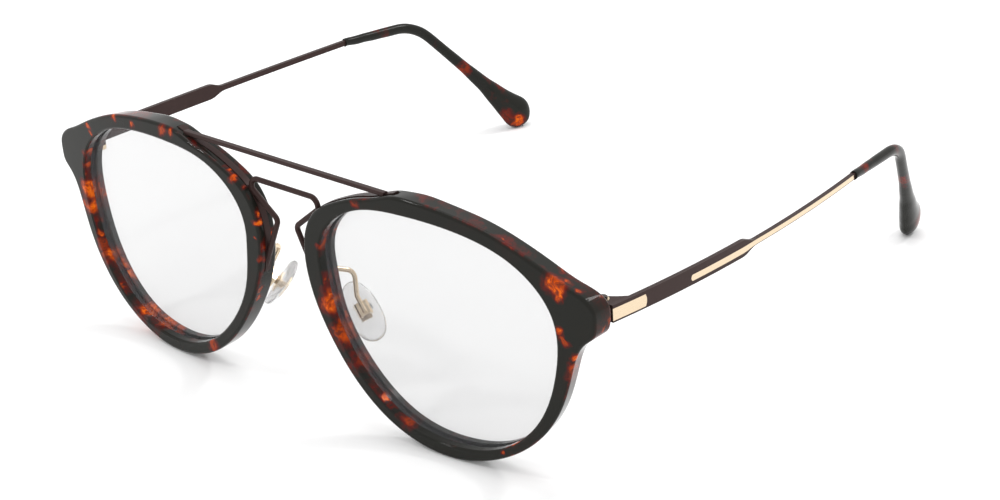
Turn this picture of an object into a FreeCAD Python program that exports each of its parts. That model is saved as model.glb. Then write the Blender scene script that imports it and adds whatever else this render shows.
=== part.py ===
import FreeCAD, Part
import math
import os
import re
from FreeCAD import Placement, Rotation, Vector

# Full-rim acetate eyeglasses with a metal double bridge, metal temples and acetate tips.
# Frame: X to the wearer's left, Y from the front towards the ears, Z up, ground at Z = 0.
# Every size below is in millimetres. Depths (Y) are first measured back from the apex of the
# front face; front_shift then moves each finished piece so the origin is under the middle.
# The left half is modelled and mirrored for the right.

doc = FreeCAD.newDocument("eyeglasses")

DIMENSIONS = {
    "front_shift": -66.63,
    # front: both rims lie on one shallow cylinder, the back faces on a slightly tighter one
    "front_radius": 435, "back_radius": 400, "front_thickness": 4.47,
    "lens_width": 52.2, "lens_height": 44.1, "bridge_width": 19.8, "lens_base": 2.75,
    "front_edge_round": 0.6, "inner_edge_round": 0.45, "back_edge_round": 0.8,
    "back_inner_round": 0.3,
    "lens_groove_depth": 0.7, "lens_groove_start": 1.7, "lens_groove_end": 3.2,
    "lens_bite": 0.6, "lens_front": 1.78, "lens_back": 3.12,
    # band let into the nasal edge of each rim, and the two bridge members brazed to it
    "band_slot_depth": 0.55, "band_slot_start": 1.45, "band_slot_end": 2.95,
    "band_proud": 0.15, "band_start": 1.5, "band_end": 2.9,
    "band_reach": 28.2, "band_foot": 25.6, "slot_reach": 28.7, "slot_foot": 25.5,
    "bar_half_length": 26.2, "bar_height": 0.8, "bar_base": 49.2, "bar_front": 1.85,
    "bar_back": 3.05, "bar_edge_round": 0.2, "wire_radius": 0.54, "wire_set_back": 2.2,
    # nose pads, held on a screw between the cheeks of a small box
    "pad_thickness": 2.3, "pad_edge_round": 0.8, "pad_lift": 2.6, "arm_radius": 0.48,
    "box_width": 2.8, "box_height": 2.7, "box_front": 1.0, "box_rear": 1.2,
    "box_gap": 1.2, "box_top": 0.4, "box_floor": 0.45, "box_round": 0.7, "tab_width": 1.0, "tab_radius": 0.65,
    "button_width": 2.2, "button_height": 3.6, "button_thickness": 0.6,
    "pad_screw_radius": 0.4, "pad_screw_clear": 0.04, "pad_head_radius": 0.7,
    "pad_head_height": 0.3,
    # hinge: vertical pin on the inner side of each temple
    "pin_x": 66.4, "pin_y": 12.6, "pin_z": 34.7, "knuckle_radius": 1.25,
    "knuckle_height": 0.93, "knuckle_gap": 0.05, "knuckle_clear": 0.1, "pin_radius": 0.5,
    "pin_clear": 0.04, "head_radius": 0.95, "head_height": 0.4,
    "plate_thickness": 0.8, "plate_width": 4.4, "plate_middle": 64.9, "plate_proud": 0.1,
    # temple: thin strip bowed outwards, wide blade stepping down to a narrow bar
    "temple_radius": 437, "temple_apex_x": 71.3, "temple_apex_y": 43.5,
    "temple_thickness": 0.9, "blade_height": 3.3, "bar_face_height": 1.17, "bar_drop": 0.05,
    "temple_start": 10.85, "step_start": 46.8, "step_end": 51.4, "bar_end": 87.2,
    "inlay_depth": 0.2, "short_inlay_height": 2.3, "short_inlay_end": 19.2,
    "short_inlay_drop": 0.15, "inlay_bulge": 0.35, "long_inlay_start": 32.0,
    "long_inlay_height": 1.2, "long_inlay_drop": 0.3, "bar_inlay_height": 0.92,
    "inlay_end": 86.4,
    "core_radius": 0.38, "tip_bend_radius": 12.7,
}

sheet = doc.addObject("Spreadsheet::Sheet", "Dims")
for row, (alias, value) in enumerate(DIMENSIONS.items(), 1):
    sheet.set(f"A{row}", alias)
    sheet.set(f"B{row}", str(value))
    sheet.setAlias(f"B{row}", alias)
doc.recompute()


def dim(name):
    """Read one driving dimension back from the sheet."""
    return float(sheet.get(name))


def formula(text):
    """An expression over the sheet, from plain arithmetic on the names of dimensions."""
    return re.sub(r"[a-z_]+", lambda word: f"Dims.{word.group()}", str(text))


def bind(item, sizes):
    """Tie properties of an object to the sheet. sizes maps a property to its arithmetic."""
    for prop, text in sizes.items():
        item.setExpression(prop, formula(text))


def front_y(x, depth=0.0):
    """Y of the front face at width x, or of the parallel face a given depth behind it."""
    radius = dim("front_radius")
    return radius - math.sqrt((radius - depth) ** 2 - x * x)


def back_y(x):
    """Y of the back face at width x."""
    radius = dim("back_radius")
    return dim("front_thickness") + radius - math.sqrt(radius ** 2 - x * x)


# ---------------------------------------------------------------- generic helpers

# Placements of profiles: facing the front (sketch x, y -> X, Z) and the side (-> Y, Z).
FACING_FRONT = Rotation(Vector(1, 0, 0), 90)
FACING_SIDE = Rotation(Vector(1, 1, 1), 120)


def upright_cylinder(name, radius, axis_x, axis_y, low=-5, high=60):
    """A vertical cylinder whose sizes are arithmetic on the sheet."""
    tool = doc.addObject("Part::Cylinder", name)
    bind(tool, {"Radius": radius, "Height": f"({high}) - ({low})",
                "Placement.Base.x": axis_x, "Placement.Base.y": axis_y,
                "Placement.Base.z": low})
    return tool


def cylinder_along_x(name, radius, low, high, y, z):
    """A cylinder lying along X from low to high."""
    tool = doc.addObject("Part::Cylinder", name)
    tool.Placement.Rotation = Rotation(Vector(0, 1, 0), 90)
    bind(tool, {"Radius": radius, "Height": f"({high}) - ({low})", "Placement.Base.x": low,
                "Placement.Base.y": y, "Placement.Base.z": z})
    return tool


def box(name, low, high):
    """A block between two corners, each coordinate arithmetic on the sheet."""
    block = doc.addObject("Part::Box", name)
    for side, axis, start, end in zip(("Length", "Width", "Height"), "xyz", low, high):
        bind(block, {side: f"({end}) - ({start})", f"Placement.Base.{axis}": start})
    return block


def cut(name, base, *tools):
    """Base with each tool taken away in turn."""
    for number, tool in enumerate(tools, 1):
        last = number == len(tools)
        result = doc.addObject("Part::Cut", name if last else f"{name}_cut{number}")
        result.Base = base
        result.Tool = tool
        base = result
    return base


def common(name, *shapes):
    result = doc.addObject("Part::MultiCommon", name)
    result.Shapes = list(shapes)
    return result


def fuse(name, *shapes):
    result = doc.addObject("Part::MultiFuse", name)
    result.Shapes = list(shapes)
    return result


def mirrored(name, source):
    """The source mirrored to the other side of the glasses."""
    image = doc.addObject("Part::Mirroring", name)
    image.Source = source
    image.Normal = Vector(1, 0, 0)
    return image


def placed(name, source, place):
    """The source cleaned of needless seams and put in place."""
    item = doc.addObject("Part::Refine", name)
    item.Source = source
    item.Placement = place
    return item


def profile(name, edges, place):
    """A sketch that holds the given edges."""
    sketch = doc.addObject("Sketcher::SketchObject", name)
    sketch.Placement = place
    for edge in edges:
        sketch.addGeometry(edge, False)
    return sketch


def extrude(name, source, depth, direction):
    """A solid made by pushing a closed profile along a direction."""
    solid = doc.addObject("Part::Extrusion", name)
    solid.Base = source
    solid.DirMode = "Custom"
    solid.Dir = Vector(*direction)
    solid.LengthFwd = depth
    solid.Solid = True
    return solid


def closed_curve(points):
    """One smooth closed curve through flat points."""
    loop = Part.BSplineCurve()
    loop.interpolate([Vector(x, y, 0) for x, y in points], PeriodicFlag=True)
    return loop


def grown(points, amounts):
    """The points of a closed outline, each moved outwards along its normal by its amount."""
    loop = closed_curve(points)
    area = sum(a[0] * b[1] - b[0] * a[1] for a, b in zip(points, points[1:] + points[:1]))
    way = math.copysign(1, area)
    moved = []
    for (x, y), amount in zip(points, amounts):
        along = loop.tangent(loop.parameter(Vector(x, y, 0)))[0]
        moved.append((x + along.y * way * amount, y - along.x * way * amount))
    return moved


def offset(points, amount):
    """A closed outline moved outwards by the same amount all round."""
    return grown(points, [amount] * len(points))


def smooth_loop(points, pieces=4):
    """The closed curve through the points, as a few curves that meet end to end."""
    loop = closed_curve(points)
    step = len(points) // pieces
    joints = [loop.parameter(Vector(*points[n * step], 0)) for n in range(1, pieces)]
    ends = [loop.FirstParameter, *joints, loop.LastParameter]
    curves = []
    for start, end in zip(ends, ends[1:]):
        curve = loop.copy()
        curve.segment(start, end)
        curves.append(curve)
    return curves


def bent_wire(points, radii):
    """Straight runs through points with a tangent arc of the given radius at each corner."""
    points = [Vector(*point) for point in points]
    edges = []
    start = points[0]
    for before, corner, after, radius in zip(points, points[1:], points[2:], radii):
        back = (before - corner).normalize()
        ahead = (after - corner).normalize()
        half = back.getAngle(ahead) / 2
        reach = radius / math.tan(half)
        middle = corner + (back + ahead).normalize() * (radius / math.sin(half) - radius)
        first = corner + back * reach
        last = corner + ahead * reach
        edges.append(Part.LineSegment(start, first).toShape())
        edges.append(Part.Arc(first, middle, last).toShape())
        start = last
    edges.append(Part.LineSegment(start, points[-1]).toShape())
    return Part.Wire(edges)


def round_sweep(name, wire, radius):
    """A round bar swept along a wire."""
    path = doc.addObject("Part::Feature", f"{name}_path")
    path.Shape = wire
    section = doc.addObject("Part::Circle", f"{name}_section")
    bind(section, {"Radius": radius})
    first = wire.OrderedEdges[0]
    start = wire.OrderedVertexes[0].Point
    heading = (wire.OrderedVertexes[1].Point - start).normalize()
    section.Placement = Placement(start, Rotation(Vector(0, 0, 1), heading))
    sweep = doc.addObject("Part::Sweep", name)
    sweep.Sections = [section]
    sweep.Spine = (path, [f"Edge{number + 1}" for number in range(len(wire.Edges))])
    sweep.Solid = True
    return sweep


def fillet(name, base, choices):
    """Round edges of base. choices lists (test, radius): the first test that holds wins."""
    doc.recompute()
    result = doc.addObject("Part::Fillet", name)
    result.Base = base
    picked = []
    for number, edge in enumerate(base.Shape.Edges, 1):
        radius = next((radius for test, radius in choices if test(edge)), None)
        if radius:
            picked.append((number, radius, radius))
    result.Edges = picked
    return result


NODES = []


def node(source, label, place=Placement()):
    """File a finished piece under a label, moved from the front's apex to the origin."""
    piece = placed(label, source, place)
    bind(piece, {"Placement.Base.y": f"({place.Base.y}) + front_shift"})
    NODES.append(piece)
    return piece


def both_sides(source, stem, place=Placement()):
    """The left-hand piece and its mirror image for the right-hand side."""
    left = node(source, f"{stem}_left", place)
    NODES.append(mirrored(f"{stem}_right", left))


# ---------------------------------------------------------------- rim and lens outlines

# Lens shape as fractions of the half width and half height of its box, from the box centre.
LENS_SHAPE = [
    (-1.000, 0.33), (-0.910, 0.70), (-0.640, 0.925), (-0.210, 1.000), (0.285, 0.966),
    (0.735, 0.780), (0.975, 0.445), (0.985, -0.06), (0.825, -0.555), (0.510, -0.890),
    (0.135, -1.00), (-0.300, -0.930), (-0.705, -0.580), (-0.925, -0.16),
]
LENS_X = (dim("bridge_width") + dim("lens_width")) / 2
LENS_Z = dim("lens_base") + dim("lens_height") / 2

# Outer edge of the acetate at its front face: brow, nose side, cheek side, end piece, and back
# along the brow. The third value is how far that edge is drawn in by the time it meets the back.
RIM_SHAPE = [
    (28.6, 50.2, 0.3), (26.4, 49.6, 0.1), (24.2, 48.8, 0), (20.0, 47.75, 0), (14.2, 45.6, 0),
    (9.3, 42.6, 0), (6.6, 38.2, 0), (5.85, 33.0, 0), (7.2, 25.2, 0), (10.8, 17.4, 0),
    (16.4, 9.7, 0), (23.4, 3.9, 0.1), (30.5, 0.85, 0.5), (37.8, -0.08, 0.8),
    (45.0, 1.15, 0.9), (51.6, 4.2, 0.6), (58.2, 9.7, 0.8), (62.8, 16.9, 1.35),
    (65.0, 23.8, 1.5), (66.5, 28.6, 0.9), (68.2, 30.8, 0.1), (69.8, 32.4, 0),
    (70.25, 34.8, 0), (70.1, 37.0, 0.1), (68.8, 38.9, 0.4), (65.0, 41.0, 0.8),
    (59.8, 43.6, 0.9), (54.3, 46.1, 0.8), (49.2, 47.95, 0.7), (44.1, 49.1, 0.5),
    (38.0, 49.95, 0.3), (33.0, 50.3, 0.1),
]
FRONT_BLOCK = 12          # deeper than the front from its apex to the ends of the back
TO_THE_BACK = (0, 1, 0)

rim_points = [(x, z) for x, z, draft in RIM_SHAPE]

lens_points = [(LENS_X + across * dim("lens_width") / 2, LENS_Z + up * dim("lens_height") / 2)
               for across, up in LENS_SHAPE]


def front_prism(name, points):
    """The prism of a closed outline, from the front's apex to behind its back."""
    outline = profile(f"{name}_outline", smooth_loop(points), Placement(Vector(), FACING_FRONT))
    return extrude(name, outline, FRONT_BLOCK, TO_THE_BACK)


def behind_front(name, depth):
    """Everything more than a given depth behind the front face."""
    return upright_cylinder(name, f"front_radius - {depth}", 0, "front_radius")


def front_layer(name, points, start, end):
    """The part of an outline's prism that lies between two depths behind the front face."""
    prism = front_prism(f"{name}_prism", points)
    layer = common(f"{name}_layer", behind_front(f"{name}_front", start), prism)
    return cut(name, layer, behind_front(f"{name}_back", end))


# ---------------------------------------------------------------- rims and lenses

def rim_section(name, depth):
    """The rim's outline at a depth from the apex, drawn in from its front to its back face."""
    moves = []
    for x, z, draft in RIM_SHAPE:
        share = (depth - front_y(x)) / (back_y(x) - front_y(x))
        moves.append(-draft * share)
    place = Placement(Vector(0, depth, 0), FACING_FRONT)
    return profile(name, smooth_loop(grown(rim_points, moves)), place)


def rim_blank():
    """Bent acetate plate with the lens opening, its edges rounded over."""
    block = doc.addObject("Part::Loft", "rim_block")
    block.Sections = [rim_section("rim_section_front", 0),
                      rim_section("rim_section_back", FRONT_BLOCK)]
    block.Solid = True
    block.Ruled = True
    opening = front_prism("lens_opening", lens_points)
    back = upright_cylinder("rim_back", "back_radius", 0, "front_thickness + back_radius")
    bent = common("rim_bent", behind_front("rim_front", 0), block)
    plate = cut("rim_plate", bent, back, opening)

    def lies_on(edge, surface):
        return all(abs(point.y - surface(point.x)) < 0.02 for point in edge.discretize(7))

    def around_lens(edge):
        middle = Part.Vertex(edge.discretize(3)[1])
        return opening.Shape.distToShape(middle)[0] < 0.02

    return fillet("rim_rounded", plate, [
        (lambda edge: lies_on(edge, front_y) and around_lens(edge), dim("inner_edge_round")),
        (lambda edge: lies_on(edge, front_y), dim("front_edge_round")),
        (lambda edge: lies_on(edge, back_y) and around_lens(edge), dim("back_inner_round")),
        (lambda edge: lies_on(edge, back_y), dim("back_edge_round")),
    ])


def edge_strip(name, outer, start, end, reach, foot):
    """A strip round the nose side of the rim's edge, from the brow (reach) to its foot."""
    ring = front_layer(f"{name}_ring", offset(rim_points, outer), start, end)
    inside = front_prism(f"{name}_inside", offset(rim_points, -dim("band_slot_depth")))
    window = box(f"{name}_window", (0, -1, foot), (reach, FRONT_BLOCK, 60))
    return common(name, cut(f"{name}_open", ring, inside), window)


rounded_rim = rim_blank()
lens_groove = front_layer("lens_groove", offset(lens_points, dim("lens_groove_depth")),
                          "lens_groove_start", "lens_groove_end")
lens = front_layer("lens_blank", offset(lens_points, dim("lens_bite")),
                   "lens_front", "lens_back")
band_slot = edge_strip("band_slot", 1, "band_slot_start", "band_slot_end",
                       "slot_reach", "slot_foot")
band = edge_strip("band", dim("band_proud"), "band_start", "band_end", "band_reach",
                  "band_foot")


# ---------------------------------------------------------------- nose pad, arm and box

PAD_CENTRE = Vector(11.0, 9.0, 19.2)
PAD_UP = Vector(-0.660, 0.100, 0.745)
PAD_TO_NOSE = Vector(-0.585, 0.545, -0.600)
PAD_SCREW_WAY = PAD_TO_NOSE.cross(PAD_UP)

# Pad outline in its own plane: across, up.
PAD_SHAPE = [
    (0.25, 6.25), (-1.9, 4.9), (-2.9, 2.0), (-3.1, -1.5), (-2.3, -4.8), (0.2, -6.25),
    (2.5, -4.6), (3.1, -1.1), (3.05, 2.05), (2.2, 4.95),
]
# The arm leaves the rim, bends down and ends in a bead brazed along the back of the box.
ARM_POINTS = [(8.0, 3.6, 29.8), (9.9, 8.7, 27.6), (11.55, 7.15, 23.46), (13.86, 6.8, 20.86)]
ARM_BENDS = [1.8, 1.5]

# In this frame x runs along the screw, y towards the nose and z up the pad.
pad_place = Placement(PAD_CENTRE, Rotation(PAD_SCREW_WAY, PAD_TO_NOSE, PAD_UP, "ZXY"))


def pad_insert_shape():
    """A metal button with a round-ended tab that the screw passes through."""
    tab_top = "button_thickness - 0.3"
    neck = box("tab_neck", ("-tab_width / 2", "-pad_lift", "-tab_radius"),
               ("tab_width / 2", tab_top, "tab_radius"))
    eye = cylinder_along_x("tab_eye", "tab_radius", "-tab_width / 2", "tab_width / 2",
                           "-pad_lift", 0)
    button = box("button", ("-button_width / 2", "-0.3", "-button_height / 2"),
                 ("button_width / 2", tab_top, "button_height / 2"))
    hole = cylinder_along_x("tab_hole", "pad_screw_radius + pad_screw_clear", "-tab_width",
                            "tab_width", "-pad_lift", 0)
    return cut("insert_shape", fuse("insert_solid", neck, eye, button), hole)


def pad_shape(insert):
    """Soft pad, rounded all over, moulded round the insert's button."""
    flat = Placement(Vector(0, -dim("pad_thickness") / 2, 0), FACING_FRONT)
    outline = profile("pad_outline", smooth_loop(PAD_SHAPE, pieces=2), flat)
    block = extrude("pad_block", outline, dim("pad_thickness"), TO_THE_BACK)

    def on_a_face(edge):
        return edge.BoundBox.YLength < 0.01

    soft = fillet("pad_soft", block, [(on_a_face, dim("pad_edge_round"))])
    return cut("pad_shape", soft, insert)


def pad_box_shape():
    """Small box, open towards the pad and below, with the screw through both cheeks."""
    shell = box("box_shell", ("-box_width / 2", "-pad_lift - box_rear", "-box_height / 2"),
                ("box_width / 2", "-pad_lift + box_front", "box_height / 2"))

    def rear_upright(edge):
        return edge.BoundBox.ZLength > 1 and edge.BoundBox.YMax < -dim("pad_lift")

    softened = fillet("box_soft", shell, [(rear_upright, dim("box_round"))])
    room = box("box_room", ("-box_gap / 2", "-pad_lift - box_rear + box_floor", "-box_height"),
               ("box_gap / 2", 0, "box_height / 2 - box_top"))
    hole = cylinder_along_x("box_hole", "pad_screw_radius", "-box_width", "box_width",
                            "-pad_lift", 0)
    return cut("box_shape", softened, room, hole)


def screw(name, radius, length, head_radius, head_height):
    """A slotted screw standing head up, every size arithmetic on the sheet."""
    piece = doc.addObject("PartDesign::Body", name)
    shank = piece.newObject("PartDesign::AdditiveCylinder", f"{name}_shank")
    bind(shank, {"Radius": radius, "Height": length})
    head = piece.newObject("PartDesign::AdditiveCylinder", f"{name}_head")
    bind(head, {"Radius": head_radius, "Height": head_height, "Placement.Base.z": length})
    slot = piece.newObject("PartDesign::SubtractiveBox", f"{name}_slot")
    bind(slot, {"Length": f"2 * ({head_radius})", "Width": f"({head_radius}) * 0.3",
                "Height": head_height, "Placement.Base.x": f"-({head_radius})",
                "Placement.Base.y": f"-({head_radius}) * 0.15",
                "Placement.Base.z": f"({length}) + ({head_height}) * 0.5"})
    return piece


insert = pad_insert_shape()
pad = pad_shape(insert)
pad_box = pad_box_shape()
pad_screw = screw("pad_screw", "pad_screw_radius", "box_width", "pad_head_radius",
                  "pad_head_height")
pad_screw_place = pad_place.multiply(Placement(
    Vector(-dim("box_width") / 2, -dim("pad_lift"), 0), Rotation(Vector(0, 1, 0), 90)))
arm_rod = round_sweep("arm_rod", bent_wire(ARM_POINTS, ARM_BENDS), "arm_radius")
arm = cut("arm", arm_rod, placed("box_in_place", pad_box, pad_place))


# ---------------------------------------------------------------- hinge

LEAF_HEIGHT = "(3 * knuckle_height + 2 * knuckle_gap)"
LEAF_BASE = f"(pin_z - {LEAF_HEIGHT} / 2)"
LEAF_TOP = f"(pin_z + {LEAF_HEIGHT} / 2)"
MID_BASE = "(pin_z - knuckle_height / 2)"
MID_TOP = "(pin_z + knuckle_height / 2)"


def hinge_plate():
    """Flat plate let into the back of the end piece, square to the surface there."""
    plate = doc.addObject("Part::Box", "hinge_plate")
    slope = math.asin(dim("plate_middle") / dim("back_radius"))
    along = Vector(math.cos(slope), math.sin(slope), 0)
    inward = Vector(math.sin(slope), -math.cos(slope), 0)
    surface = Vector(dim("plate_middle"), back_y(dim("plate_middle")), 0)
    depth = dim("plate_thickness") - dim("plate_proud")
    corner = surface - along * dim("plate_width") / 2 + inward * depth
    plate.Placement = Placement(corner, Rotation(Vector(0, 0, 1), math.degrees(slope)))
    bind(plate, {"Length": "plate_width", "Width": "plate_thickness", "Height": LEAF_HEIGHT,
                 "Placement.Base.z": LEAF_BASE})
    return plate


def front_leaf(plate):
    """The plate with its two outer knuckles on webs."""
    pieces = [plate]
    for name, low, high in (("low", LEAF_BASE, f"{MID_BASE} - knuckle_gap"),
                            ("high", f"{MID_TOP} + knuckle_gap", LEAF_TOP)):
        pieces.append(upright_cylinder(f"front_knuckle_{name}", "knuckle_radius", "pin_x",
                                       "pin_y", low, high))
        pieces.append(box(f"front_web_{name}", ("pin_x - knuckle_radius * 0.7", 9.8, low),
                          ("pin_x + knuckle_radius * 0.7", "pin_y", high)))
    bore = upright_cylinder("front_bore", "pin_radius", "pin_x", "pin_y")
    return cut("front_leaf", fuse("front_leaf_solid", *pieces), bore)


def temple_leaf(blade):
    """Block on the blade's inner face that fades out backwards, with the middle knuckle."""
    inner = (69.8, 16.5)
    corner = (dim("pin_x"), dim("pin_y") + dim("knuckle_radius"))
    start = (dim("pin_x"), dim("temple_start") + 0.25)
    beside = (69.8, start[1])
    flare = Part.Arc(Vector(*corner, 0), Vector(68.15, 14.95, 0), Vector(*inner, 0))
    lines = [Part.LineSegment(Vector(*a, 0), Vector(*b, 0))
             for a, b in ((inner, beside), (beside, start), (start, corner))]
    outline = profile("leaf_outline", [flare] + lines, Placement())
    bind(outline, {"Placement.Base.z": LEAF_BASE})
    solid = doc.addObject("Part::Extrusion", "leaf_block")
    solid.Base = outline
    solid.DirMode = "Custom"
    solid.Dir = Vector(0, 0, 1)
    solid.Solid = True
    bind(solid, {"LengthFwd": LEAF_HEIGHT})
    room = []
    for name, low, high in (("low", f"{LEAF_BASE} - 1", MID_BASE),
                            ("high", MID_TOP, f"{LEAF_TOP} + 1")):
        room.append(upright_cylinder(f"knuckle_room_{name}", "knuckle_radius + knuckle_clear",
                                     "pin_x", "pin_y", low, high))
        room.append(box(f"web_room_{name}",
                        ("pin_x - 2 * knuckle_radius", "pin_y - 3", low),
                        ("pin_x + knuckle_radius + knuckle_clear", "pin_y", high)))
    middle = upright_cylinder("middle_knuckle", "knuckle_radius", "pin_x", "pin_y", MID_BASE,
                              MID_TOP)
    bore = upright_cylinder("middle_bore", "pin_radius + pin_clear", "pin_x", "pin_y")
    block = cut("leaf_cleared", solid, *room)
    return cut("temple_leaf", fuse("temple_leaf_solid", block, middle), bore, blade)


plate = hinge_plate()
hinge_front = front_leaf(plate)
hinge_screw = screw("hinge_screw", "pin_radius", LEAF_HEIGHT, "head_radius", "head_height")
hinge_screw_place = Placement(
    Vector(dim("pin_x"), dim("pin_y"),
           dim("pin_z") - 1.5 * dim("knuckle_height") - dim("knuckle_gap")), Rotation())


# ---------------------------------------------------------------- temple and inlays

# The temple's middle line seen from the side is an arc through these (Y, Z) points.
TEMPLE_LINE = [(10.8, 34.9), (46.6, 33.2), (87.1, 32.4)]
line_arc = Part.Arc(*[Vector(y, z, 0) for y, z in TEMPLE_LINE]).toShape().Curve


def middle_z(y):
    """Height of the temple's middle line at depth y."""
    radius = line_arc.Radius
    centre = line_arc.Center
    return centre.y - math.copysign(math.sqrt(radius ** 2 - (y - centre.x) ** 2),
                                    centre.y - TEMPLE_LINE[0][1])


def run(start, end, offset, drop=0.0):
    """An arc that follows the middle line, offset up or down from it."""
    ends = [Vector(y, middle_z(y) + offset - drop, 0) for y in (start, (start + end) / 2, end)]
    return Part.Arc(*ends)


def step(start, end, before, after):
    """A smooth step between two heights above the middle line, level at both ends."""
    span = end[0] - start[0]
    curve = Part.BSplineCurve()
    poles = [Vector(*start, 0), Vector(start[0] + span * 0.45, start[1] + before * span, 0),
             Vector(end[0] - span * 0.45, end[1] + after * span, 0), Vector(*end, 0)]
    curve.buildFromPoles(poles, False, 3)
    return curve


def edge_line(start, end, wide, narrow, drop):
    """Upper or lower edge of a strip that narrows at the step: run, step, run."""
    first = run(start, dim("step_start"), wide)
    last = run(dim("step_end"), end, narrow, drop)
    joint = step((first.EndPoint.x, first.EndPoint.y), (last.StartPoint.x, last.StartPoint.y),
                 -0.01, 0.005)
    return [first, joint, last]


def side_strip(name, edges):
    """A closed side-view profile pushed through the temple from inside to outside."""
    place = Placement(Vector(60, 0, 0), FACING_SIDE)
    return extrude(f"{name}_prism", profile(f"{name}_outline", edges, place), 20, (1, 0, 0))


def join(start, end):
    return Part.LineSegment(start, end)


def outside_bow(name, depth):
    """Everything inside the temple's outer face by at least a given depth."""
    return upright_cylinder(name, f"temple_radius - {depth}",
                            "temple_apex_x - temple_radius", "temple_apex_y", 20, 45)


def temple_blade():
    """The bowed strip: wide blade, step, narrow bar."""
    start, end = dim("temple_start"), dim("bar_end")
    half, narrow, drop = dim("blade_height") / 2, dim("bar_face_height") / 2, dim("bar_drop")
    upper = edge_line(start, end, half, narrow, drop)
    lower = edge_line(start, end, -half, -narrow, drop)
    ends = [join(upper[0].StartPoint, lower[0].StartPoint),
            join(upper[2].EndPoint, lower[2].EndPoint)]
    prism = side_strip("blade", upper + lower + ends)
    bowed = common("blade_bowed", outside_bow("blade_outer", 0), prism)
    return cut("blade", bowed, outside_bow("blade_inner", "temple_thickness"))


def short_inlay_shape():
    """Short wide inlay beside the hinge, its far end slightly bowed."""
    start, end = dim("temple_start"), dim("short_inlay_end")
    half, drop = dim("short_inlay_height") / 2, dim("short_inlay_drop")
    upper = run(start, end, half, drop)
    lower = run(start, end, -half, drop)
    tip_point = Vector(end + dim("inlay_bulge"), middle_z(end) - drop, 0)
    edges = [upper, lower, join(upper.StartPoint, lower.StartPoint),
             Part.Arc(upper.EndPoint, tip_point, lower.EndPoint)]
    bowed = common("short_inlay_bowed", outside_bow("short_outer", 0),
                   side_strip("short_inlay", edges))
    return cut("short_inlay", bowed, outside_bow("short_inner", "inlay_depth"))


def long_inlay_shape():
    """Narrow inlay that follows the step and the bar to the tip."""
    start, end = dim("long_inlay_start"), dim("inlay_end")
    half, lowered = dim("long_inlay_height") / 2, dim("long_inlay_drop")
    narrow, drop = dim("bar_inlay_height") / 2, dim("bar_drop")
    upper = edge_line(start, end, half - lowered, narrow, drop)
    lower = edge_line(start, end, -half - lowered, -narrow, drop)
    bow_point = Vector(start - dim("inlay_bulge"), middle_z(start) - lowered, 0)
    ends = [Part.Arc(upper[0].StartPoint, bow_point, lower[0].StartPoint),
            join(upper[2].EndPoint, lower[2].EndPoint)]
    bowed = common("long_inlay_bowed", outside_bow("long_outer", 0),
                   side_strip("long_inlay", upper + lower + ends))
    return cut("long_inlay", bowed, outside_bow("long_inner", "inlay_depth"))


# Centre line of the tip: where it starts on the bar, the corner of its bend, and its end.
TIP_START = Vector(68.7, 87.0, 32.35)
TIP_BEND = Vector(66.0, 107.4, 30.8)
TIP_END = Vector(54.4, 132.0, 1.08)
CORE_SHARE = 0.75         # part of the tip's straight run that holds the core wire

# At shares of the tip's length: its width in the plane of its bend, its thickness, how far it
# lies inside the bend's centre line, and how far it is twisted about it, in degrees.
TIP_SIZES = [
    (0.0, 1.9, 1.7, 0, 0), (0.18, 2.3, 2.0, 0, 0), (0.36, 2.45, 2.15, 0, 0),
    (0.50, 2.5, 2.15, 0, 0), (0.62, 2.75, 2.3, 0, -3.5), (0.74, 3.7, 2.8, 0.1, -7.5),
    (0.85, 5.7, 3.6, 0.3, -10.6), (0.93, 7.6, 4.0, 0.2, -10.6), (1.0, 7.7, 4.0, 0.2, -10.6),
]
TIP_RINGS = 24            # evenly spread along the tip, before the rounded end
TIP_END_RINGS = 6

blade = temple_blade()
core_end = TIP_BEND + (TIP_END - TIP_BEND) * CORE_SHARE
core = round_sweep("core", bent_wire([TIP_START, TIP_BEND, core_end],
                                     [dim("tip_bend_radius")]), "core_radius")
short_inlay = short_inlay_shape()
long_inlay = long_inlay_shape()
temple = cut("temple_metal", fuse("temple_solid", blade, core), short_inlay, long_inlay)
hinge_temple = temple_leaf(blade)


def tip_ring(number, wire, reach):
    """An elliptical section of the tip, a given distance along its centre line."""
    share = reach / wire.Length
    for (start, *small), (end, *large) in zip(TIP_SIZES, TIP_SIZES[1:]):
        if start <= share <= end:
            blend = (share - start) / (end - start)
            sizes = [a + (b - a) * blend for a, b in zip(small, large)]
    width, thickness, inset, twist = sizes
    end_radius = TIP_SIZES[-1][1] / 2
    to_end = wire.Length - reach
    if to_end < end_radius:
        rounding = math.sqrt(1 - (1 - to_end / end_radius) ** 2)
        width *= rounding
        thickness = min(thickness * math.sqrt(rounding), width * 0.9)
    edges = wire.OrderedEdges
    while len(edges) > 1 and reach > edges[0].Length:
        reach -= edges[0].Length
        edges = edges[1:]
    place = edges[0].getParameterByLength(min(reach, edges[0].Length))
    heading = edges[0].tangentAt(place)
    bend_axis = (TIP_BEND - TIP_START).cross(TIP_END - TIP_BEND).normalize()
    ring = doc.addObject("Part::Ellipse", f"tip_ring_{number}")
    ring.MajorRadius = width / 2
    ring.MinorRadius = thickness / 2
    inwards = bend_axis.cross(heading)
    turned = Rotation(inwards, bend_axis, heading, "ZXY")
    ring.Placement = Placement(edges[0].valueAt(place) + inwards * inset,
                               turned.multiply(Rotation(Vector(0, 0, 1), twist)))
    return ring


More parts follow.
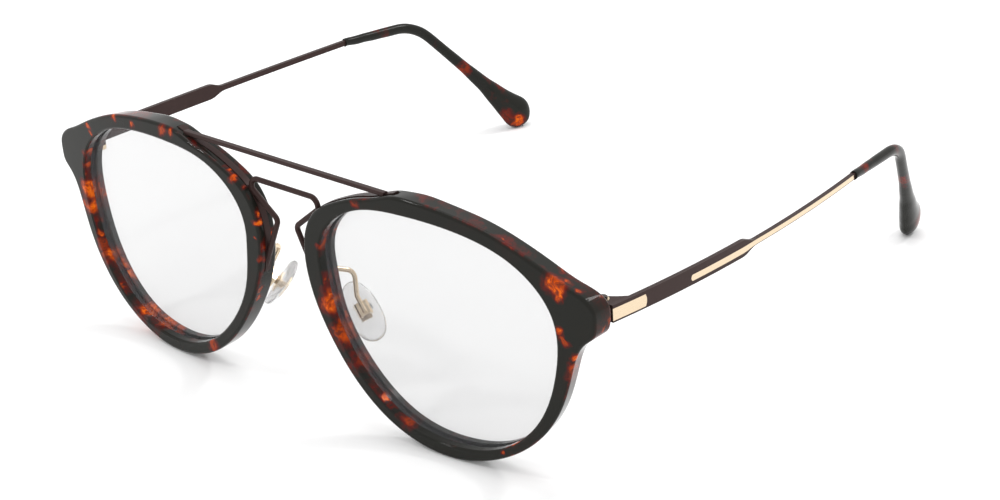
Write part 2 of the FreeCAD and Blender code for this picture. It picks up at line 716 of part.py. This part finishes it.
def tip_shape():
    """Acetate tip: sections along the bent centre line, swelling to a flat rounded paddle."""
    wire = bent_wire([TIP_START, TIP_BEND, TIP_END], [dim("tip_bend_radius")])
    rounded_from = wire.Length - TIP_SIZES[-1][1] / 2
    reaches = [rounded_from * number / TIP_RINGS for number in range(TIP_RINGS)]
    for number in range(TIP_END_RINGS):
        angle = math.radians(80) * number / (TIP_END_RINGS - 1)
        reaches.append(rounded_from + TIP_SIZES[-1][1] / 2 * math.sin(angle))
    rings = [tip_ring(number, wire, reach) for number, reach in enumerate(reaches)]
    loft = doc.addObject("Part::Loft", "tip_loft")
    loft.Sections = rings
    loft.Solid = True
    return cut("tip_shape", loft, temple)


tip = tip_shape()


# ---------------------------------------------------------------- bridge

rim = cut("rim_shape", rounded_rim, lens_groove, band_slot, arm_rod, hinge_front)


def half_bridge(name, half):
    """One half of a bridge member, let go where it meets the band and the rim, and doubled."""
    trimmed = cut(f"{name}_half", half, band, rim)
    return fuse(name, trimmed, mirrored(f"{name}_other_half", trimmed))


def brow_bar_half():
    bar = box("bar_block", (0, "bar_front", "bar_base"),
              ("bar_half_length", "bar_back", "bar_base + bar_height"))

    def long_edge(edge):
        return edge.BoundBox.XLength > 5

    return fillet("bar_soft", bar, [(long_edge, dim("bar_edge_round"))])


def bridge_wire_half():
    """Bent wire: up from the band, round the keyhole, and across to the middle."""
    points = [(7.52, 25.9), (2.4, 37.3), (8.75, 42.3), (8.75, 44.5), (0, 44.5)]
    depth = dim("wire_set_back")
    return round_sweep("wire_rod", bent_wire([(x, depth, z) for x, z in points],
                                             [1.2, 0.75, 1.75]), "wire_radius")


brow_bar = half_bridge("brow_bar_shape", brow_bar_half())
bridge_wire = half_bridge("bridge_wire_shape", bridge_wire_half())


# ---------------------------------------------------------------- finished pieces

both_sides(rim, "rim")
both_sides(lens, "lens")
both_sides(band, "bridge_band")
node(brow_bar, "brow_bar")
node(bridge_wire, "bridge_wire")
both_sides(arm, "pad_arm")
both_sides(pad_box, "pad_box", pad_place)
both_sides(pad_screw, "pad_screw", pad_screw_place)
both_sides(insert, "pad_insert", pad_place)
both_sides(pad, "nose_pad", pad_place)
both_sides(hinge_front, "hinge_front")
both_sides(hinge_screw, "hinge_screw", hinge_screw_place)
both_sides(hinge_temple, "hinge_temple")
both_sides(temple, "temple")
both_sides(short_inlay, "inlay_short")
both_sides(long_inlay, "inlay_long")
both_sides(tip, "temple_tip")

doc.recompute()
for item in doc.Objects:
    failed = {"Invalid", "Error"} & set(item.State)
    if failed:
        raise RuntimeError(f"{item.Name} did not compute: {sorted(failed)}")

os.makedirs("parts", exist_ok=True)
for piece in NODES:
    shape = piece.Shape
    if shape.isNull() or not shape.isValid() or not shape.Solids:
        raise RuntimeError(f"{piece.Label} is not a valid solid")
    shape.exportStep(f"parts/{piece.Label}.step")
    print(f"{piece.Label}: {shape.Volume:.2f} mm3, {len(shape.Solids)} solid(s)")
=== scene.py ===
import math

import bmesh
import bpy
from mathutils import Matrix, Vector


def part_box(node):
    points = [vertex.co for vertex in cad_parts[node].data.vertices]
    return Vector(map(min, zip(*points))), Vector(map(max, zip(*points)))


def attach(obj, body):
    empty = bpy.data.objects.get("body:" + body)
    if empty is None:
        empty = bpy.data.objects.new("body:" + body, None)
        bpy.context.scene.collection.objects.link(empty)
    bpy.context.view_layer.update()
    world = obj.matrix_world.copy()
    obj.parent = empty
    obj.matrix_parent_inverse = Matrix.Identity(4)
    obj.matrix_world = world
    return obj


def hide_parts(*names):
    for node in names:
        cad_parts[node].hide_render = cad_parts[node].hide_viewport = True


# Tortoiseshell eyeglasses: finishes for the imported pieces, soft nose pads, floor, light, camera.
# Lengths are metres unless a name says mm. The origin is on the floor under the middle.

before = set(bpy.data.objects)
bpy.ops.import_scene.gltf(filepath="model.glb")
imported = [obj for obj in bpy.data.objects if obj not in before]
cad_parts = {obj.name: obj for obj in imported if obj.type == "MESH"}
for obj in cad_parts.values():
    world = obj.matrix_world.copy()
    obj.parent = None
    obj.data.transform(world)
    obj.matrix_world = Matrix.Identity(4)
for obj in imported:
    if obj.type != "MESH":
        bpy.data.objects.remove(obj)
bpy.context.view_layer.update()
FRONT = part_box("rim_left")[0].y          # depth of the front's foremost point
SIDES = {"left": 1, "right": -1}
MM = 0.001


# ---------------------------------------------------------------- material helpers

class Shade:
    """A node material under construction, with its Principled shader."""

    def __init__(self, name, **settings):
        self.material = bpy.data.materials.new(name)
        self.material.use_nodes = True
        self.tree = self.material.node_tree
        self.shader = self.tree.nodes["Principled BSDF"]
        for socket, value in settings.items():
            self.shader.inputs[socket.replace("_", " ")].default_value = value

    def add(self, kind, inputs=(), **properties):
        """A node, its properties set, and its inputs set or linked by name or number."""
        node = self.tree.nodes.new(f"ShaderNode{kind}")
        for name, value in properties.items():
            setattr(node, name, value)
        for key, value in dict(inputs).items():
            if isinstance(value, bpy.types.NodeSocket):
                self.tree.links.new(value, node.inputs[key])
            else:
                node.inputs[key].default_value = value
        return node

    def math(self, operation, *values):
        """One operation on plain numbers."""
        return self.add("Math", enumerate(values), operation=operation).outputs[0]

    def step(self, value, low, high, to_low=0.0, to_high=1.0):
        """A smooth step of value between low and high."""
        node = self.add("MapRange", {"Value": value, "From Min": low, "From Max": high,
                                     "To Min": to_low, "To Max": to_high},
                        interpolation_type="SMOOTHSTEP")
        return node.outputs["Result"]

    def mix(self, factor, first, second):
        """A blend of two colours."""
        node = self.add("Mix", {0: factor, 6: first, 7: second}, data_type="RGBA")
        return node.outputs[2]

    def position_mm(self):
        """The place on the piece in millimetres in the object's own frame."""
        coords = self.add("TexCoord").outputs["Object"]
        return self.add("VectorMath", {0: coords, "Scale": 1 / MM}, operation="SCALE").outputs[0]

    def distance(self, vector, point):
        """How far a place is from a fixed point."""
        return self.add("VectorMath", {0: vector, 1: point}, operation="DISTANCE").outputs["Value"]

    def stretched(self, vector, scales):
        """A place scaled by its own amount along each axis."""
        return self.add("VectorMath", {0: vector, 1: scales}, operation="MULTIPLY").outputs[0]

    def noise(self, vector, scale, detail=2.0, roughness=0.5):
        """Seamless noise, about a half on average."""
        return self.add("TexNoise", {"Vector": vector, "Scale": scale, "Detail": detail,
                                     "Roughness": roughness})

    def drive(self, socket, value):
        """Let a node set one input of the shader."""
        self.tree.links.new(value, self.shader.inputs[socket])

    def bump(self, height, strength, distance):
        """Fine relief in the surface."""
        node = self.add("Bump", {"Height": height, "Strength": strength, "Distance": distance})
        self.drive("Normal", node.outputs[0])


# ---------------------------------------------------------------- acetate

DARK = (0.0145, 0.0145, 0.012, 1)
RED = (0.105, 0.008, 0.005, 1)
AMBER = (0.62, 0.075, 0.001, 1)
GLOW = (0.80, 0.16, 0.004, 1)
WARP = 3.4                        # mm by which the pattern's places wander
STREAKS = (1.3, 0.35, 0.7)        # how fine the streaks are across, along the depth and up
AMBER_EDGE = (0.55, 1.1)          # shares of a blotch's radius over which its amber fades
RED_EDGE = (0.9, 1.7)             # and its red
QUIET_RANGE = (3.5, 7.5)          # mm from the quiet place over which the clouds come back
QUIET_LEVEL = 0.25

# Larger blotches: middle in mm (its depth from the front's foremost point), radius in mm, and
# how amber they are.
BLOTCHES = [
    ((62.6, 4.2, 41.2), 1.9, 1.0), ((63.2, 4.3, 39.4), 1.0, 1.0), ((64.0, 6.5, 41.6), 0.8, 0.8),
    ((66.4, 6.5, 40.2), 0.9, 0.7), ((63.3, 4.6, 32.2), 0.7, 0.9), ((64.0, 4.7, 30.7), 0.9, 0.6),
    ((67.6, 7.0, 26.5), 1.8, 0.5), ((66.2, 7.0, 21.5), 1.8, 0.4), ((65.8, 5.2, 27.6), 0.9, 0.8),
    ((65.3, 5.4, 25.0), 1.6, 0.5), ((49.6, 2.8, 4.5), 0.7, 0.8),
    ((10.3, 1.3, 36.0), 1.0, 0.3), ((10.9, 1.4, 24.4), 2.3, 1.0), ((13.0, 1.9, 18.8), 2.3, 0.7),
    ((12.2, 2.4, 21.0), 1.0, 0.4), ((15.8, 2.6, 13.0), 2.0, 0.3), ((27.8, 2.2, 4.4), 1.6, 0.3),
    ((20.3, 0.4, 46.9), 0.7, 0.2),
    ((-58.3, 3.9, 43.1), 0.9, 0.8), ((-57.4, 3.8, 41.9), 0.8, 1.0), ((-48.1, 2.8, 47.8), 0.9, 0.9),
    ((-41.6, 2.0, 47.8), 0.8, 1.0), ((-32.0, 1.2, 49.1), 1.1, 0.5), ((-29.4, 1.0, 49.1), 0.8, 1.0),
    ((-60.5, 5.2, 36.2), 1.1, 0.6), ((-61.8, 5.4, 33.6), 1.1, 0.6), ((-62.3, 5.8, 27.6), 2.0, 1.0),
    ((-62.0, 5.4, 24.2), 1.9, 1.0), ((-62.1, 7.9, 25.8), 1.3, 0.4), ((-61.8, 6.8, 20.7), 0.7, 0.9),
    ((-60.4, 5.0, 18.4), 0.8, 1.0), ((-59.6, 4.8, 16.2), 1.4, 0.3), ((-58.3, 5.5, 13.8), 1.9, 1.0),
    ((-56.8, 7.2, 11.8), 1.4, 0.8), ((-48.2, 5.0, 3.9), 2.6, 1.0), ((-43.2, 5.2, 2.6), 2.4, 0.8),
    ((-39.0, 5.0, 2.3), 1.5, 0.5), ((-24.0, 0.8, 5.4), 1.6, 0.4), ((-13.4, 1.2, 45.4), 0.6, 0.9),
    ((-12.2, 1.0, 44.2), 0.8, 1.0), ((-9.9, 0.8, 42.6), 0.7, 0.5), ((-6.2, 1.0, 38.3), 0.7, 1.0),
    ((-6.1, 0.9, 36.5), 0.8, 1.0), ((-7.2, 0.2, 33.6), 0.5, 1.0), ((-6.2, 2.4, 33.9), 0.6, 0.8),
    ((-6.4, 0.6, 28.7), 0.8, 0.2), ((-8.4, 1.6, 21.8), 0.8, 0.8), ((-9.6, 1.8, 19.8), 0.9, 1.0),
]
# The same on the tips.
TIP_BLOTCHES = [
    ((68.6, 91.1, 32.8), 1.2, 0.1), ((62.2, 115.4, 19.3), 1.3, 0.1), ((57.6, 130.3, 3.6), 1.8, 0.1),
    ((-60.0, 117.3, 17.5), 1.6, 0.2), ((-55.2, 125.8, 3.8), 1.6, 0.1),
    ((-54.0, 128.0, 2.2), 1.8, 0.9),
]
# The left end piece is nearly free of clouds.
QUIET_PLACE = (70.5, 7.0, 38.0)


def behind_front(point):
    """A place in mm whose depth was given from the front's foremost point."""
    x, depth, z = point
    return (x, depth + FRONT / MM, z)


def tortoiseshell(name, wall_low, amber_from, blotches):
    """Glossy acetate: near-black with warm clouds, with painted light: the clouds are painted
    richest on its side walls, where light comes through them.

    wall_low is how much of the cloud pattern shows on faces that look along the depth of the
    room, against full strength on the side walls as painted light, and amber_from the level of the
    noise at which a cloud turns amber.
    """
    shade = Shade(name, Roughness=0.09, IOR=1.49, Specular_IOR_Level=0.13)
    place = shade.position_mm()
    drift = shade.noise(place, 0.33, 2)
    shift = shade.add("VectorMath", {0: drift.outputs["Color"], 1: (-0.5, -0.5, -0.5)})
    warped = shade.add("VectorMath", {0: shift.outputs[0], 1: (WARP, WARP, WARP), 2: place},
                       operation="MULTIPLY_ADD").outputs[0]
    cloud = shade.noise(warped, 0.15, 3, 0.55).outputs["Fac"]
    # Painted light: the clouds are shown in full on the side walls, standing in for light shining
    # through the acetate, and faded to wall_low on faces that look along the depth.
    normal = shade.add("SeparateXYZ", {0: shade.add("NewGeometry").outputs["Normal"]})
    facing = shade.math("ABSOLUTE", normal.outputs["Y"])
    painted_wall_glow = shade.step(facing, 0.35, 0.9, 1.0, wall_low)
    amber = shade.math("MULTIPLY", shade.step(cloud, amber_from, amber_from + 0.07), painted_wall_glow)
    red = shade.math("MULTIPLY", shade.step(cloud, amber_from - 0.16, amber_from), painted_wall_glow)
    from_quiet = shade.distance(place, behind_front(QUIET_PLACE))
    quiet = shade.step(from_quiet, *QUIET_RANGE, QUIET_LEVEL, 1.0)
    amber = shade.math("MULTIPLY", amber, quiet)
    red = shade.math("MULTIPLY", red, quiet)
    for middle, radius, tone in blotches:
        away = shade.distance(warped, behind_front(middle))
        amber_spot = shade.step(away, *[radius * share for share in AMBER_EDGE], tone, 0.0)
        red_spot = shade.step(away, *[radius * share for share in RED_EDGE], 1.0, 0.0)
        amber = shade.math("MAXIMUM", amber, amber_spot)
        red = shade.math("MAXIMUM", red, red_spot)
    streak = shade.noise(shade.stretched(warped, STREAKS), 1.2, 4, 0.65).outputs["Fac"]
    depth = shade.step(streak, 0.36, 0.58, 0.25, 1.0)
    core = shade.math("MULTIPLY", shade.step(amber, 0.6, 1.0), shade.step(streak, 0.5, 0.65))
    colour = shade.mix(shade.math("MULTIPLY", red, depth), DARK, RED)
    colour = shade.mix(shade.math("MULTIPLY", amber, depth), colour, AMBER)
    colour = shade.mix(core, colour, GLOW)
    shade.drive("Base Color", colour)
    wear = shade.noise(place, 0.8, 4, 0.6).outputs["Fac"]
    shade.drive("Roughness", shade.step(wear, 0.2, 0.8, 0.03, 0.09))
    ripple = shade.noise(place, 0.12, 2).outputs["Fac"]
    shade.bump(ripple, 0.12, 0.0004)
    return shade.material


# ---------------------------------------------------------------- metals, lens and silicone

BRUSHING = (6.0, 0.25, 6.0)       # how fine the brushed lines are across, along the depth and up
LACQUER_BROWNS = ((0.033, 0.0175, 0.0155, 1), (0.043, 0.024, 0.022, 1))
LENS_GREYS = ((0.16, 0.165, 0.175, 1), (0.22, 0.22, 0.225, 1))


def lacquered_metal():
    """Satin brown lacquer over metal, a little uneven."""
    shade = Shade("brown_lacquer", Metallic=0.15, IOR=1.45, Specular_IOR_Level=0.15)
    place = shade.position_mm()
    cloud = shade.noise(place, 0.25, 3).outputs["Fac"]
    shade.drive("Base Color", shade.mix(cloud, *LACQUER_BROWNS))
    speck = shade.noise(place, 9.0, 3, 0.7).outputs["Fac"]
    shade.drive("Roughness", shade.step(speck, 0.2, 0.8, 0.28, 0.42))
    shade.bump(speck, 0.15, 0.00002)
    return shade.material


def plated_metal(name, pale, deep, roughness):
    """Bright metal with fine brushing along the depth."""
    shade = Shade(name, Metallic=1.0)
    place = shade.position_mm()
    lines = shade.noise(shade.stretched(place, BRUSHING), 1.0, 3, 0.6).outputs["Fac"]
    shade.drive("Base Color", shade.mix(lines, deep, pale))
    shade.drive("Roughness", shade.step(lines, 0.2, 0.8, roughness * 0.8, roughness * 1.25))
    shade.bump(lines, 0.10, 0.00001)
    return shade.material


def lens_material():
    """Clear demo lens: nearly all see-through, with a faint grey body and gloss."""
    shade = Shade("clear_lens", Roughness=0.02, IOR=1.5, Alpha=0.19)
    haze = shade.noise(shade.position_mm(), 0.05, 2).outputs["Fac"]
    shade.drive("Base Color", shade.mix(haze, *LENS_GREYS))
    return shade.material


def silicone_material():
    """Clear soft silicone, slightly cloudy."""
    shade = Shade("clear_silicone", IOR=1.41, Transmission_Weight=0.78,
                  Base_Color=(0.97, 0.97, 0.97, 1))
    cloud = shade.noise(shade.position_mm(), 0.9, 3).outputs["Fac"]
    shade.drive("Roughness", shade.step(cloud, 0.2, 0.8, 0.05, 0.12))
    return shade.material


FINISHES = {
    "brown_metal": lacquered_metal(),
    "gold_metal": plated_metal("champagne_gold", (0.80, 0.66, 0.48, 1), (0.70, 0.55, 0.38, 1), 0.24),
    "steel": plated_metal("steel", (0.70, 0.69, 0.67, 1), (0.55, 0.54, 0.53, 1), 0.3),
    "dark_steel": plated_metal("dark_steel", (0.10, 0.08, 0.07, 1), (0.06, 0.05, 0.045, 1), 0.3),
    "clear_lens": lens_material(),
    "clear_silicone": silicone_material(),
    "rim_acetate": tortoiseshell("tortoise_rim", 0.03, 0.64, BLOTCHES),
    "tip_acetate": tortoiseshell("tortoise_tip", 0.7, 0.70, TIP_BLOTCHES),
}
# The finish of each node, by its name without its side.
FINISH_OF = {
    "rim": "rim_acetate", "lens": "clear_lens", "bridge_band": "brown_metal",
    "brow_bar": "brown_metal", "bridge_wire": "brown_metal", "pad_arm": "gold_metal",
    "pad_box": "gold_metal", "pad_screw": "steel", "pad_insert": "gold_metal",
    "nose_pad": "clear_silicone", "hinge_front": "gold_metal", "hinge_screw": "dark_steel",
    "hinge_temple": "brown_metal", "temple": "brown_metal", "inlay_short": "gold_metal",
    "inlay_long": "gold_metal", "temple_tip": "tip_acetate",
}
for name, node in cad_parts.items():
    stem = name.removesuffix("_left").removesuffix("_right")
    for slot in node.material_slots:
        slot.material = FINISHES[FINISH_OF[stem]]


# ---------------------------------------------------------------- nose pads

PAD_UP = Vector((-0.660, 0.100, 0.745))        # up the left pad's length
PAD_TO_NOSE = Vector((-0.585, 0.545, -0.600))  # out of the face that rests on the nose
PAD_HALF_LENGTH = 6.2 * MM
PAD_HALF_WIDTH = 3.2 * MM
PAD_HALF_THICKNESS = 1.15 * MM
PAD_SHIFT = 0.15 * MM          # towards the nose, clear of the box as the pad rocks
PAD_SAG = 0.25 * MM            # how far the two ends bend back from the nose
PAD_TAPER = 0.06               # share of the width lost at the top and gained at the bottom
PAD_FULLNESS = 0.10            # share of the width gained at the ends of one long side
PAD_WIDTH_POWER = 0.92         # below one, a power makes a round shape boxier
PAD_LENGTH_POWER = 0.88
PAD_SIDE_POWER = 0.55
PAD_CROWN_POWER = 0.9
PAD_SEGMENTS = 64
PAD_ROWS = 18


def rounded(value, power):
    """A signed power, for superellipses."""
    return math.copysign(abs(value) ** power, value)


def pad_offset(row, number):
    """Metres across, up and out from the pad's middle to one corner of its grid."""
    tilt = math.pi * (row / PAD_ROWS - 0.5)
    spread = rounded(math.cos(tilt), PAD_SIDE_POWER)
    lift = rounded(math.sin(tilt), PAD_CROWN_POWER) * PAD_HALF_THICKNESS
    angle = 2 * math.pi * number / PAD_SEGMENTS
    u = rounded(math.cos(angle), PAD_WIDTH_POWER)
    v = rounded(math.sin(angle), PAD_LENGTH_POWER)
    width = 1 - PAD_TAPER * v + PAD_FULLNESS * max(u, 0) * v * v
    sag = PAD_SAG * (v * spread) ** 2
    return (u * width * spread * PAD_HALF_WIDTH, v * spread * PAD_HALF_LENGTH, lift - sag)


def pad_mesh(name, middle, axes):
    """The closed, crowned pad around its middle, along its axes across, up and out."""
    mesh = bmesh.new()
    rings = []
    for row in range(1, PAD_ROWS):
        offsets = [pad_offset(row, number) for number in range(PAD_SEGMENTS)]
        rings.append([mesh.verts.new(sum((axis * part for axis, part in zip(axes, offset)), middle))
                      for offset in offsets])
    for ring, following in zip(rings, rings[1:]):
        for number in range(PAD_SEGMENTS):
            after = (number + 1) % PAD_SEGMENTS
            mesh.faces.new((ring[number], ring[after], following[after], following[number]))
    for ring, way in ((rings[0], -1), (rings[-1], 1)):
        pole = mesh.verts.new(middle + axes[2] * way * PAD_HALF_THICKNESS)
        for number in range(PAD_SEGMENTS):
            mesh.faces.new((ring[number], ring[(number + 1) % PAD_SEGMENTS], pole))
    bmesh.ops.recalc_face_normals(mesh, faces=mesh.faces)
    for face in mesh.faces:
        face.smooth = True
    data = bpy.data.meshes.new(name)
    mesh.to_mesh(data)
    mesh.free()
    return data


def nose_pad(side):
    """A crowned silicone pad in place of the plain CAD one."""
    low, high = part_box(f"nose_pad_{side}")
    axes = [Vector((v.x * SIDES[side], v.y, v.z)).normalized()
            for v in (PAD_UP.cross(PAD_TO_NOSE), PAD_UP, PAD_TO_NOSE)]
    middle = (low + high) / 2 + axes[2] * PAD_SHIFT
    data = pad_mesh(f"soft_pad_{side}", middle, axes)
    data.materials.append(FINISHES["clear_silicone"])
    piece = bpy.data.objects.new(f"soft_pad_{side}", data)
    bpy.context.scene.collection.objects.link(piece)
    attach(piece, f"pad_{side}")
    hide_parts(f"nose_pad_{side}")


for side in SIDES:
    nose_pad(side)


# ---------------------------------------------------------------- floor, light and camera

FLOOR_SIZE = 8.0
FLOOR_GREYS = ((0.90, 0.90, 0.90, 1), (0.92, 0.92, 0.92, 1))


def floor_material():
    """Matt, nearly white, with a faint wide mottle."""
    shade = Shade("studio_floor", Roughness=0.6)
    mottle = shade.noise(shade.position_mm(), 0.004, 2).outputs["Fac"]
    shade.drive("Base Color", shade.mix(mottle, *FLOOR_GREYS))
    return shade.material


def studio_floor():
    """A flat square under the glasses."""
    half = FLOOR_SIZE / 2
    corners = [(-half, -half, 0), (half, -half, 0), (half, half, 0), (-half, half, 0)]
    data = bpy.data.meshes.new("studio_floor")
    data.from_pydata(corners, [], [(0, 1, 2, 3)])
    data.materials.append(floor_material())
    piece = bpy.data.objects.new("studio_floor", data)
    bpy.context.scene.collection.objects.link(piece)


studio_floor()

GLASSES_MIDDLE = Vector((0, 0, 0.02))
ABOVE_BEHIND = (0.25, 0.62, 0.66)


def softbox(name, place, size, power):
    """A square area light of so many watts at a place, facing the middle of the glasses."""
    data = bpy.data.lights.new(name, "AREA")
    data.shape = "SQUARE"
    data.size = size
    data.energy = power
    lamp = bpy.data.objects.new(name, data)
    bpy.context.scene.collection.objects.link(lamp)
    lamp.location = place
    aim = GLASSES_MIDDLE - Vector(place)
    lamp.rotation_euler = aim.to_track_quat("-Z", "Y").to_euler()


softbox("key", ABOVE_BEHIND, 0.22, 1.3)
softbox("rear_glint", ABOVE_BEHIND, 0.05, 1.0)
softbox("front_glint", (-0.40, -0.44, 0.66), 0.06, 0.9)
softbox("fill", (-0.10, 0.10, 0.90), 0.50, 2.0)

world = bpy.data.worlds.new("studio")
bpy.context.scene.world = world
world.use_nodes = True
backdrop = world.node_tree.nodes["Background"]
backdrop.inputs["Color"].default_value = (1.0, 1.0, 1.0, 1)
backdrop.inputs["Strength"].default_value = 1.0

bpy.context.scene.view_settings.view_transform = "Standard"

CAMERA_AZIMUTH = math.radians(42.467)    # from straight ahead towards the wearer's left
CAMERA_HEIGHT = math.radians(25.303)
CAMERA_ROLL = math.radians(-3.680)
CAMERA_DISTANCE = 0.45608
AIM = Vector((0.015967, FRONT + 0.042551, 0.020))
LENS_MM = 83.74

to_camera = Vector((math.sin(CAMERA_AZIMUTH) * math.cos(CAMERA_HEIGHT),
                    -math.cos(CAMERA_AZIMUTH) * math.cos(CAMERA_HEIGHT),
                    math.sin(CAMERA_HEIGHT)))
right = Vector((math.cos(CAMERA_AZIMUTH), math.sin(CAMERA_AZIMUTH), 0))
above = to_camera.cross(right)
camera_data = bpy.data.cameras.new("camera")
camera_data.lens = LENS_MM
camera_data.sensor_width = 36
camera = bpy.data.objects.new("camera", camera_data)
bpy.context.scene.collection.objects.link(camera)
axes = (right * math.cos(CAMERA_ROLL) + above * math.sin(CAMERA_ROLL),
        above * math.cos(CAMERA_ROLL) - right * math.sin(CAMERA_ROLL), to_camera)
camera.matrix_world = (Matrix.Translation(AIM + to_camera * CAMERA_DISTANCE)
                       @ Matrix(axes).transposed().to_4x4())
bpy.context.scene.camera = camera
